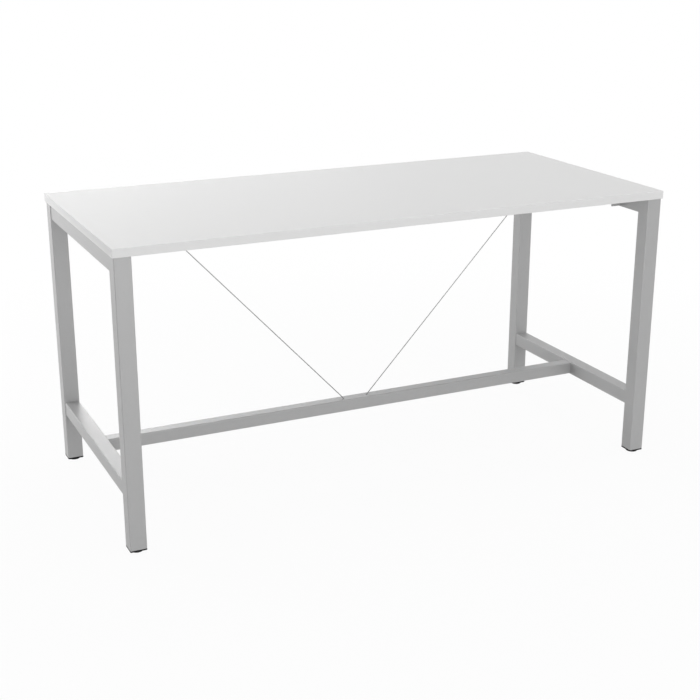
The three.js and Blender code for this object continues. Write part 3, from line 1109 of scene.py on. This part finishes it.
@dataclass
class EndFrame:
    """Two legs and two rails of square tube, welded, with cleats for the board."""

    side: Side
    tube: BoxTube = BoxTube()
    cleat_plate: float = 3.0 * MM
    cleat_bend: float = 2.0 * MM
    cleat_edge: float = 0.4 * MM
    bead_radius: float = 1.6 * MM
    ripple_pitch: float = 2.4 * MM
    ripple_swell: float = 0.14
    weld_step: float = 0.4 * MM

    def build(self, welds: WeldTree) -> None:
        """Builds the frame.

        Args:
            welds: the tree that lays the beads.
        """
        corners = [corner for corner in Corner if corner.value[0] == self.side.value]
        for corner in corners:
            self.leg(corner)
            self.cleat(corner)
        for level in ("upper", "lower"):
            self.rail(f"{level}_rail_{self.side.word}", corners[0])
        self.weld(welds, corners)

    def leg(self, corner: Corner) -> None:
        """One leg, from its cap to the board.

        Args:
            corner: where it stands.
        """
        node = f"leg_{corner.word}"
        low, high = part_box(node)
        place = Matrix.Translation(((low.x + high.x) / 2, (low.y + high.y) / 2, 0))
        size = (high.x - low.x, high.y - low.y)
        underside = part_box("top_panel")[0].z
        piece = self.tube.draw(f"{node}_tube", size, low.z, underside, place)
        smooth(piece)
        hand_over(piece, SILVER_PAINT, FRAME_BODY, node)

    def rail(self, node: str, corner: Corner) -> None:
        """One rail, from leg to leg.

        Args:
            node: the node that it stands for.
            corner: one of the two legs that it joins.
        """
        low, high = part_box(node)
        leg_low, leg_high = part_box(f"leg_{corner.word}")
        end = min(abs(leg_low.y), abs(leg_high.y))
        size = (high.x - low.x, high.z - low.z)
        place = Matrix.Translation(((low.x + high.x) / 2, 0, (low.z + high.z) / 2)) @ ALONG_Y
        piece = self.tube.draw(f"{node}_tube", size, -end, end, place)
        smooth(piece)
        hand_over(piece, SILVER_PAINT, FRAME_BODY, node)

    def cleat(self, corner: Corner) -> None:
        """One cleat: a folded plate welded to the upper rail.

        Args:
            corner: the leg that it is nearest to.
        """
        node = f"top_cleat_{corner.word}"
        low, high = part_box(node)
        near, far = (low.y, high.y) if corner.value[1] < 0 else (high.y, low.y)
        half = self.cleat_plate / 2
        upright = near - math.copysign(half, near)
        flange = high.z - half
        section = bent_strip(
            Vector((far, flange)), Vector((upright, flange)), Vector((upright, low.z)),
            self.cleat_plate, self.cleat_bend,
        )
        piece = Solid().prism(section, low.x, high.x, ALONG_X).shape(f"{node}_plate")
        smooth(piece, self.cleat_edge)
        hand_over(piece, SILVER_PAINT, FRAME_BODY, node)

    def weld(self, welds: WeldTree, corners: list[Corner]) -> None:
        """The beads under the rails' ends and along the cleats.

        Args:
            welds: the tree that lays the beads.
            corners: the frame's two legs.
        """
        seams = Solid()
        for corner in corners:
            leg_low, leg_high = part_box(f"leg_{corner.word}")
            inner_y = leg_low.y if corner.value[1] > 0 else leg_high.y
            round_edge = self.tube.corner
            for level in ("upper", "lower"):
                low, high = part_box(f"{level}_rail_{self.side.word}")
                start = (low.x + round_edge, inner_y, low.z)
                self.seam(seams, start, (high.x - round_edge, inner_y, low.z))
            low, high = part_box(f"top_cleat_{corner.word}")
            rail_low, rail_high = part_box(f"upper_rail_{self.side.word}")
            face_x = rail_low.x if self.side is Side.RIGHT else rail_high.x
            near, far = (low.y, high.y) if corner.value[1] < 0 else (high.y, low.y)
            back = near - math.copysign(self.cleat_plate, near)
            bend = back - math.copysign(self.cleat_bend, near)
            under = high.z - self.cleat_plate
            self.seam(seams, (face_x, bend, under), (face_x, far, under))
            self.seam(seams, (face_x, back, low.z + round_edge), (face_x, back, under - self.cleat_bend))
        piece = welds.run(
            f"welds_{self.side.word}", seams, SILVER_PAINT,
            bead_radius=self.bead_radius, ripple_pitch=self.ripple_pitch,
            ripple_swell=self.ripple_swell, step=self.weld_step,
        )
        hand_over(piece, SILVER_PAINT, FRAME_BODY)

    @staticmethod
    def seam(seams: Solid, start: Sequence[float], end: Sequence[float]) -> None:
        """Adds one straight seam to the base that the beads follow."""
        seams.mesh.edges.new((seams.mesh.verts.new(start), seams.mesh.verts.new(end)))


@dataclass
class FootRail:
    """The low rail between the end frames, with a hole for each brace rod."""

    tube: BoxTube = BoxTube()
    hole_radius: float = 1.8 * MM
    drill_reach: float = 16.0 * MM

    def build(self, brace: Brace, nodes: dict[str, bpy.types.Object]) -> None:
        """Builds the rail and dresses what it hides.

        Args:
            brace: the rods that stand in it.
            nodes: the model's nodes.
        """
        low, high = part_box("foot_rail")
        place = Matrix.Translation((0, 0, (low.z + high.z) / 2)) @ ALONG_X
        size = (high.y - low.y, high.z - low.z)
        piece = self.tube.draw("foot_rail_tube", size, low.x, high.x, place)
        start = brace.entry(high.z) - self.drill_reach
        end = brace.entry(high.z) + self.drill_reach
        profile = [(0.0, start), (self.hole_radius, start), (self.hole_radius, end), (0.0, end)]
        for side in Side:
            drill = Solid().turned(profile, ROUND_STEPS, brace.axis(side))
            cut(piece, drill.shape("rod_drill"))
        smooth(piece)
        hand_over(piece, SILVER_PAINT, FRAME_BODY, "foot_rail")
        for side in Side:
            dress(nodes[f"foot_rail_spigot_{side.word}"], SILVER_PAINT)
        dress(nodes["brace_anchor"], ZINC_STEEL)


@dataclass
class Brace:
    """Two thin rods from the foot rail up to folded brackets under the board."""

    rod_radius: float = 1.5 * MM
    reach: float = 666.0 * MM
    apex_drop: float = 5.0 * MM
    rod_foot: float = 25.0 * MM
    thread_length: float = 30.0 * MM
    thread_pitch: float = 0.5 * MM
    thread_depth: float = 0.3 * MM
    thread_sides: int = 24
    turn_steps: int = 8
    plate: float = 2.5 * MM
    plate_gap: float = 0.3 * MM
    bracket_width: float = 30.0 * MM
    bracket_flange: float = 36.0 * MM
    bracket_drop: float = 22.0 * MM
    bracket_tail: float = 10.0 * MM
    bracket_bend: float = 2.0 * MM
    bracket_corner: float = 4.0 * MM
    bracket_edge: float = 0.3 * MM
    nut_flats: float = 5.5 * MM
    nut_height: float = 4.0 * MM
    nut_bore: float = 1.5 * MM
    nut_chamfer: float = 0.5 * MM
    rod_tip: float = 3.0 * MM

    def __post_init__(self) -> None:
        """Works out the rods' slope and where the bracket meets it."""
        self.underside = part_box("top_panel")[0].z
        self.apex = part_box("foot_rail")[0].z - self.apex_drop
        rise = self.underside - self.apex
        self.slope = math.atan2(rise, self.reach)
        self.tab = math.hypot(rise, self.reach) - self.bracket_drop
        self.nut_seat = self.tab + self.plate / 2
        self.rod_end = self.nut_seat + self.plate_gap + self.nut_height + self.rod_tip

    def axis(self, side: Side) -> Matrix:
        """Lays +Z along one side's rod, with zero where the two axes meet."""
        turn = Matrix.Rotation(0.0 if side is Side.RIGHT else math.pi, 4, "Z")
        lean = Matrix.Rotation(math.pi / 2 - self.slope, 4, "Y")
        return Matrix.Translation((0, 0, self.apex)) @ turn @ lean

    def entry(self, height: float) -> float:
        """The distance along a rod at which its axis passes that height."""
        return (height - self.apex) / math.sin(self.slope)

    def build(self, threads: ThreadTree) -> None:
        """Builds both sides.

        Args:
            threads: the tree that cuts the rods' threads.
        """
        for side in Side:
            self.rod(side, threads)
            self.nut(side)
            self.bracket(side)

    def rod(self, side: Side, threads: ThreadTree) -> None:
        """One rod: plain below, threaded where the nut runs.

        Args:
            side: where it goes.
            threads: the tree that cuts its thread.
        """
        node = f"brace_rod_{side.word}"
        start = self.rod_end - self.thread_length
        neck = self.rod_radius - self.thread_depth
        plain = Solid().turned([
            (0.0, self.rod_foot), (self.rod_radius, self.rod_foot),
            (self.rod_radius, start - self.thread_depth), (neck, start), (0.0, start),
        ])
        piece = plain.shape(f"{node}_bar")
        smooth(piece)
        turns = self.thread_length / self.thread_pitch
        thread = threads.run(
            f"{node}_thread", Solid(), SILVER_PAINT,
            radius=self.rod_radius, length=self.thread_length, pitch=self.thread_pitch,
            depth=self.thread_depth, around=self.thread_sides, along=round(turns * self.turn_steps),
        )
        thread.data.transform(Matrix.Translation((0, 0, start - self.thread_depth / 2)))
        merge(piece, thread)
        piece.data.transform(self.axis(side))
        hand_over(piece, SILVER_PAINT, FRAME_BODY, node)

    def nut(self, side: Side) -> None:
        """One hexagon nut with chamfered corners.

        Args:
            side: where it goes.
        """
        node = f"brace_nut_{side.word}"
        low = self.nut_seat
        high = low + self.nut_height
        outline = hexagon(self.nut_flats)
        bore = round_match(outline, self.nut_bore)
        piece = Solid().tube(outline, bore, low, high).shape(f"{node}_hex")
        reach = self.nut_flats / math.sqrt(3)
        rim = reach - self.nut_chamfer
        drop = self.nut_chamfer / 2
        barrel = Solid().turned([
            (0.0, low - drop), (rim - self.nut_chamfer, low - drop), (reach + drop, low + drop),
            (reach + drop, high - drop), (rim - self.nut_chamfer, high + drop), (0.0, high + drop),
        ])
        cut(piece, barrel.shape("nut_barrel"), "INTERSECT")
        smooth(piece)
        piece.data.transform(self.axis(side))
        hand_over(piece, ZINC_STEEL, FRAME_BODY, node)

    def bracket(self, side: Side) -> None:
        """One bracket: a flange under the board and a tab square to the rod.

        Args:
            side: where it goes.
        """
        node = f"brace_bracket_{side.word}"
        along = Vector((math.cos(self.slope), math.sin(self.slope)))
        across = Vector((along.y, -along.x))
        middle = self.underside - self.plate / 2
        tab = along * self.tab + Vector((0, self.apex))
        fold = tab - across * ((middle - tab.y) / -across.y)
        flange = Vector((fold.x - self.bracket_flange, middle))
        section = bent_strip(flange, fold, tab + across * self.bracket_tail, self.plate, self.bracket_bend)
        half = self.bracket_width / 2
        solid = Solid().prism(section, -half, half, ALONG_Y)
        corners = [edge for edge in solid.mesh.edges if abs(edge.calc_length() - self.plate) < self.plate_gap]
        solid.round_off(self.bracket_corner, corners, CORNER_STEPS)
        piece = solid.shape(f"{node}_plate")
        smooth(piece, self.bracket_edge)
        piece.data.transform(Matrix.Rotation(0.0 if side is Side.RIGHT else math.pi, 4, "Z"))
        hand_over(piece, SILVER_PAINT, FRAME_BODY, node)


def merge(piece: bpy.types.Object, other: bpy.types.Object) -> None:
    """Adds another piece's faces to a piece and removes the other.

    Args:
        piece: what keeps the faces.
        other: what is used up.
    """
    both = bmesh.new()
    both.from_mesh(piece.data)
    both.from_mesh(other.data)
    both.to_mesh(piece.data)
    both.free()
    discard(other)
    piece.data.set_sharp_from_angle(angle=SHARP_ANGLE)


@dataclass(frozen=True)
class ButtonScrew:
    """One kind of button-head screw, with the seed of its sockets' turns."""

    head_radius: float
    head_height: float
    shank_radius: float
    key_flats: float
    seed: int


@dataclass
class Screws:
    """The button-head screws: one mesh for those into the board, one for those into the foot rail."""

    seat_gap: float = 0.3 * MM
    wood: ButtonScrew = ButtonScrew(4.5 * MM, 3.0 * MM, 2.25 * MM, 3.0 * MM, 5)
    machine: ButtonScrew = ButtonScrew(5.5 * MM, 3.5 * MM, 3.0 * MM, 4.0 * MM, 11)

    def build(self, tree: ScrewTree) -> None:
        """Sets both kinds.

        Args:
            tree: the tree that sets a screw at each point.
        """
        cleats = [f"cleat_screw_{corner.word}_{i}" for corner in Corner for i in (1, 2)]
        brackets = [f"bracket_screw_{place}_{side.word}" for side in Side for place in ("front", "back")]
        self.set(tree, "top_screws", self.wood, cleats + brackets)
        spigots = [f"spigot_screw_{side.word}_{i}" for side in Side for i in (1, 2)]
        anchors = [f"anchor_screw_{side.word}" for side in Side]
        self.set(tree, "rail_screws", self.machine, spigots + anchors)

    def set(self, tree: ScrewTree, name: str, screw: ButtonScrew, nodes: list[str]) -> None:
        """Sets one kind of screw where the model has it.

        Args:
            tree: the tree that sets a screw at each point.
            name: of the piece.
            screw: the kind.
            nodes: the screws' nodes.
        """
        points = Solid()
        seat = screw.head_height + self.seat_gap
        for node in nodes:
            low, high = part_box(node)
            points.mesh.verts.new(((low.x + high.x) / 2, (low.y + high.y) / 2, low.z + seat))
        low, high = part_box(nodes[-1])
        piece = tree.run(
            name, points, ZINC_STEEL,
            head_radius=screw.head_radius, head_height=screw.head_height,
            shank_radius=screw.shank_radius, length=high.z - low.z - seat,
            key_reach=screw.key_flats / math.sqrt(3), seed=screw.seed,
        )
        smooth(piece)
        hand_over(piece, ZINC_STEEL, FRAME_BODY, *nodes)


@dataclass
class LevellingFeet:
    """A plastic cap in each leg, and under it a threaded stud that turns in a round pad."""

    leg_corner: float = 3.0 * MM
    flange: float = 4.5 * MM
    flange_edge: float = 0.5 * MM
    plug: float = 45.4 * MM
    plug_wall: float = 3.0 * MM
    plug_corner: float = 1.0 * MM
    plug_height: float = 18.3 * MM
    rib: float = 2.5 * MM
    rib_height: float = 14.0 * MM
    boss_radius: float = 8.0 * MM
    bore_radius: float = 4.4 * MM
    stud_radius: float = 4.0 * MM
    stud_pitch: float = 1.25 * MM
    stud_depth: float = 0.6 * MM
    turn_steps: int = 10
    neck: float = 6.0 * MM
    head_radius: float = 10.0 * MM
    head_top: float = 4.7 * MM
    head_edge: float = 0.3 * MM
    key: float = 4.0 * MM
    key_depth: float = 5.0 * MM
    pad_edge: float = 0.8 * MM
    edge_steps: int = 4
    pad_rim: float = 9.0 * MM
    pad_pocket: float = 10.4 * MM
    pad_floor: float = 2.0 * MM
    pad_lip: float = 1.0 * MM
    key_hole: float = 3.5 * MM

    def build(self, threads: ThreadTree) -> None:
        """Builds the four feet.

        Args:
            threads: the tree that cuts the studs' threads.
        """
        patterns = {
            "leg_cap": (self.cap(), BLACK_PLASTIC, FRAME_BODY),
            "foot_stud": (self.stud(threads), ZINC_STEEL, "stud_"),
            "foot_pad": (self.pad(), BLACK_PLASTIC, "pad_"),
        }
        for kind, (pattern, finish, body) in patterns.items():
            for corner in Corner:
                node = f"{kind}_{corner.word}"
                low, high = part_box(node)
                piece = copy_to(pattern, f"{node}_moulding", (low.x + high.x) / 2, (low.y + high.y) / 2)
                carrier = body if body == FRAME_BODY else body + corner.word
                hand_over(piece, finish, carrier, node)
            discard(pattern)

    def cap(self) -> bpy.types.Object:
        """The pattern of a leg's cap: a flange, a ribbed plug and a boss."""
        low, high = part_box("leg_cap_front_left")
        outline = round_rectangle(high.x - low.x, high.y - low.y, self.leg_corner)
        bore = round_match(outline, self.bore_radius)
        top = low.z + self.flange
        leg_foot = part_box("leg_front_left")[0].z
        flange = Solid().tube(outline, bore, low.z, leg_foot).shape("cap_flange")
        smooth(flange, self.flange_edge)
        inside = self.plug - 2 * self.plug_wall
        inner = Solid()
        inner.tube(
            round_rectangle(self.plug, self.plug, self.plug_corner),
            round_rectangle(inside, inside, self.plug_corner), leg_foot, top + self.plug_height,
        )
        inner.tube(round_match(outline, self.boss_radius), bore, leg_foot, high.z)
        for turn in range(4):
            place = Matrix.Rotation(turn * math.pi / 2, 4, "Z")
            start = self.boss_radius - self.rib / 4
            end = inside / 2 + self.rib / 4
            half = self.rib / 2
            rib = [(start, -half), (end, -half), (end, half), (start, half)]
            inner.prism(rib, leg_foot, top + self.rib_height, place)
        plug = inner.shape("cap_plug")
        smooth(plug)
        merge(flange, plug)
        return flange

    def stud(self, threads: ThreadTree) -> bpy.types.Object:
        """The pattern of a stud: a flat head with a key socket, a neck and a threaded shank.

        Args:
            threads: the tree that cuts the thread.

        Returns:
            The stud on the Z axis.
        """
        low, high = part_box("foot_stud_front_left")
        core = self.stud_radius - self.stud_depth
        neck_top = self.head_top + self.neck
        edge = self.head_edge
        head = Solid().turned([
            (0.0, low.z), (self.head_radius - edge, low.z), (self.head_radius, low.z + edge),
            (self.head_radius, self.head_top - edge), (self.head_radius - edge, self.head_top),
            (core, self.head_top), (core, neck_top), (0.0, neck_top),
        ]).shape("stud_head")
        socket = Solid().prism(hexagon(self.key), low.z - self.key, low.z + self.key_depth)
        cut(head, socket.shape("key_socket"))
        smooth(head)
        length = high.z - neck_top + edge
        shank = threads.run(
            "stud_shank", Solid(), ZINC_STEEL,
            radius=self.stud_radius, length=length, pitch=self.stud_pitch, depth=self.stud_depth,
            around=ROUND_STEPS, along=round(length / self.stud_pitch * self.turn_steps),
        )
        shank.data.transform(Matrix.Translation((0, 0, neck_top - edge)))
        merge(head, shank)
        return head

    def pad(self) -> bpy.types.Object:
        """The pattern of a pad: a disc with a pocket for the stud's head and a hole for the key."""
        low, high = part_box("foot_pad_front_left")
        radius = (high.x - low.x) / 2
        edge = self.pad_edge
        arc = quarter_turn(self.edge_steps)
        foot = [(radius - edge + edge * math.sin(a), low.z + edge - edge * math.cos(a)) for a in arc]
        brow = [(radius - edge + edge * math.cos(a), high.z - edge + edge * math.sin(a)) for a in arc]
        lip = high.z - self.pad_lip
        outside = [(self.key_hole, low.z), *foot, *brow]
        mouth = [(self.pad_rim, high.z), (self.pad_rim, lip), (self.pad_pocket, lip)]
        profile = [*outside, *mouth, (self.pad_pocket, self.pad_floor), (self.key_hole, self.pad_floor)]
        piece = Solid().turned(profile, FINE_ROUND_STEPS).shape("pad_disc")
        smooth(piece)
        return piece


# Studio


@dataclass(frozen=True)
class Lamp:
    """A soft square lamp."""

    name: str
    place: tuple[float, float, float]
    aim: tuple[float, float, float]
    size: float
    power: float

    def hang(self) -> None:
        """Puts the lamp in the scene, turned to what it lights."""
        data = bpy.data.lights.new(self.name, "AREA")
        data.shape = "SQUARE"
        data.size = self.size
        data.energy = self.power
        lamp = bpy.data.objects.new(self.name, data)
        lamp.location = self.place
        lamp.rotation_euler = (Vector(self.aim) - Vector(self.place)).to_track_quat("-Z", "Y").to_euler()
        bpy.context.scene.collection.objects.link(lamp)


LAMPS = (
    Lamp("front_lamp", (0.4, -6.2, 1.1), (0.0, 0.0, 0.5), 4.0, 176.0),
    Lamp("front_left_lamp", (-4.2, -4.2, 1.4), (0.0, 0.0, 0.5), 3.0, 41.0),
    Lamp("left_lamp", (-2.4, 1.7, 1.0), (-0.9, 0.2, 0.4), 1.0, 27.0),
    Lamp("top_lamp", (0.3, 0.0, 4.6), (0.3, 0.0, 0.9), 4.5, 85.0),
    Lamp("back_lamp", (0.6, 4.6, 1.9), (0.0, 0.0, 0.5), 3.0, 42.0),
    Lamp("back_left_lamp", (-0.4, 4.6, 2.0), (-0.4, 0.0, 0.4), 2.2, 37.0),
    Lamp("back_right_lamp", (5.0, 5.0, 2.6), (0.4, 0.0, 0.5), 4.0, 12.0),
    Lamp("right_lamp", (4.2, -0.8, 1.6), (0.9, 0.0, 0.5), 2.4, 28.0),
)


@dataclass
class Studio:
    """Camera, lamps, white surroundings and a pale floor that keeps the table's shadow."""

    camera_place: tuple[float, float, float] = (-1.74107, -3.67738, 1.73765)
    camera_pitch: float = 18.57
    camera_yaw: float = -25.1
    lens: float = 66.74
    sensor: float = 36.0
    ambient: float = 0.3
    floor_size: float = 30.0
    floor_colour: Colour = (0.65, 0.65, 0.65)
    floor_clear: float = 0.95
    shadow_reach: tuple[float, float] = (1.0, 3.0)

    def build(self) -> None:
        """Sets the studio up."""
        self.camera()
        for lamp in LAMPS:
            lamp.hang()
        self.surroundings()
        self.floor()
        bpy.context.scene.view_settings.view_transform = "Standard"

    def camera(self) -> None:
        """The camera at the photograph's angle."""
        data = bpy.data.cameras.new("camera")
        data.sensor_width = self.sensor
        data.lens = self.lens
        camera = bpy.data.objects.new("camera", data)
        camera.location = self.camera_place
        camera.rotation_euler = (math.radians(90 - self.camera_pitch), 0, math.radians(self.camera_yaw))
        bpy.context.scene.collection.objects.link(camera)
        bpy.context.scene.camera = camera

    @staticmethod
    def shown(graph: Graph) -> Value:
        """1 for a ray from the camera or off a shiny or clear surface, 0 for light that scatters."""
        rays = graph.node("ShaderNodeLightPath")
        kinds = ("Is Camera Ray", "Is Glossy Ray", "Is Transmission Ray")
        camera, glossy, clear = (graph.value(rays, kind) for kind in kinds)
        either = camera.math("MAXIMUM", camera, glossy)
        return either.math("MAXIMUM", either, clear)

    def surroundings(self) -> None:
        """White where it is seen, and a soft even light where it falls on the table."""
        world = bpy.data.worlds.new("studio")
        bpy.context.scene.world = world
        world.use_nodes = True
        world.node_tree.nodes.clear()
        graph = Graph(world.node_tree)
        strength = self.ambient + self.shown(graph) * (1 - self.ambient)
        inputs = {"Color": (1.0, 1.0, 1.0, 1.0), "Strength": strength}
        light = graph.node("ShaderNodeBackground", None, inputs)
        graph.node("ShaderNodeOutputWorld", None, {"Surface": light.outputs[0]})

    def floor(self) -> None:
        """A pale floor: the white surroundings show through it, under the table's shadow."""
        half = self.floor_size / 2
        sheet = Solid()
        corners = ((-half, -half, 0), (half, -half, 0), (half, half, 0), (-half, half, 0))
        sheet.mesh.faces.new([sheet.mesh.verts.new(corner) for corner in corners])
        floor = sheet.shape("floor")
        material = bpy.data.materials.new("floor")
        material.use_nodes = True
        material.node_tree.nodes.clear()
        graph = Graph(material.node_tree)
        matt = graph.node("ShaderNodeBsdfDiffuse", None, {"Color": (*self.floor_colour, 1.0)})
        clear = graph.node("ShaderNodeBsdfTransparent")
        spot = graph.node("ShaderNodeTexCoord").outputs["Object"]
        away = graph.node("ShaderNodeVectorMath", {"operation": "LENGTH"}, {0: spot})
        near, far = self.shadow_reach
        inputs = {"Value": away.outputs["Value"], "From Min": near, "From Max": far}
        ramp = {**inputs, "To Min": self.floor_clear, "To Max": 1.0}
        fade = graph.node("ShaderNodeMapRange", {"interpolation_type": "SMOOTHSTEP"}, ramp)
        share = self.shown(graph) * graph.value(fade)
        inputs = {"Fac": share, "Shader": matt.outputs[0], "Shader_001": clear.outputs[0]}
        mixed = graph.node("ShaderNodeMixShader", None, inputs)
        graph.node("ShaderNodeOutputMaterial", None, {"Surface": mixed.outputs[0]})
        floor.data.materials.append(material)


def main() -> None:
    """Builds the studio and the table in order."""
    logging.basicConfig(level=logging.INFO, format="%(message)s")
    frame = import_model()
    nodes = frame["nodes"]
    Studio().build()
    welds = WeldTree()
    threads = ThreadTree()
    TableTop().build(nodes)
    for side in Side:
        EndFrame(side).build(welds)
    brace = Brace()
    brace.build(threads)
    FootRail().build(brace, nodes)
    Screws().build(ScrewTree())
    LevellingFeet().build(threads)


if __name__ == "__main__":
    main()
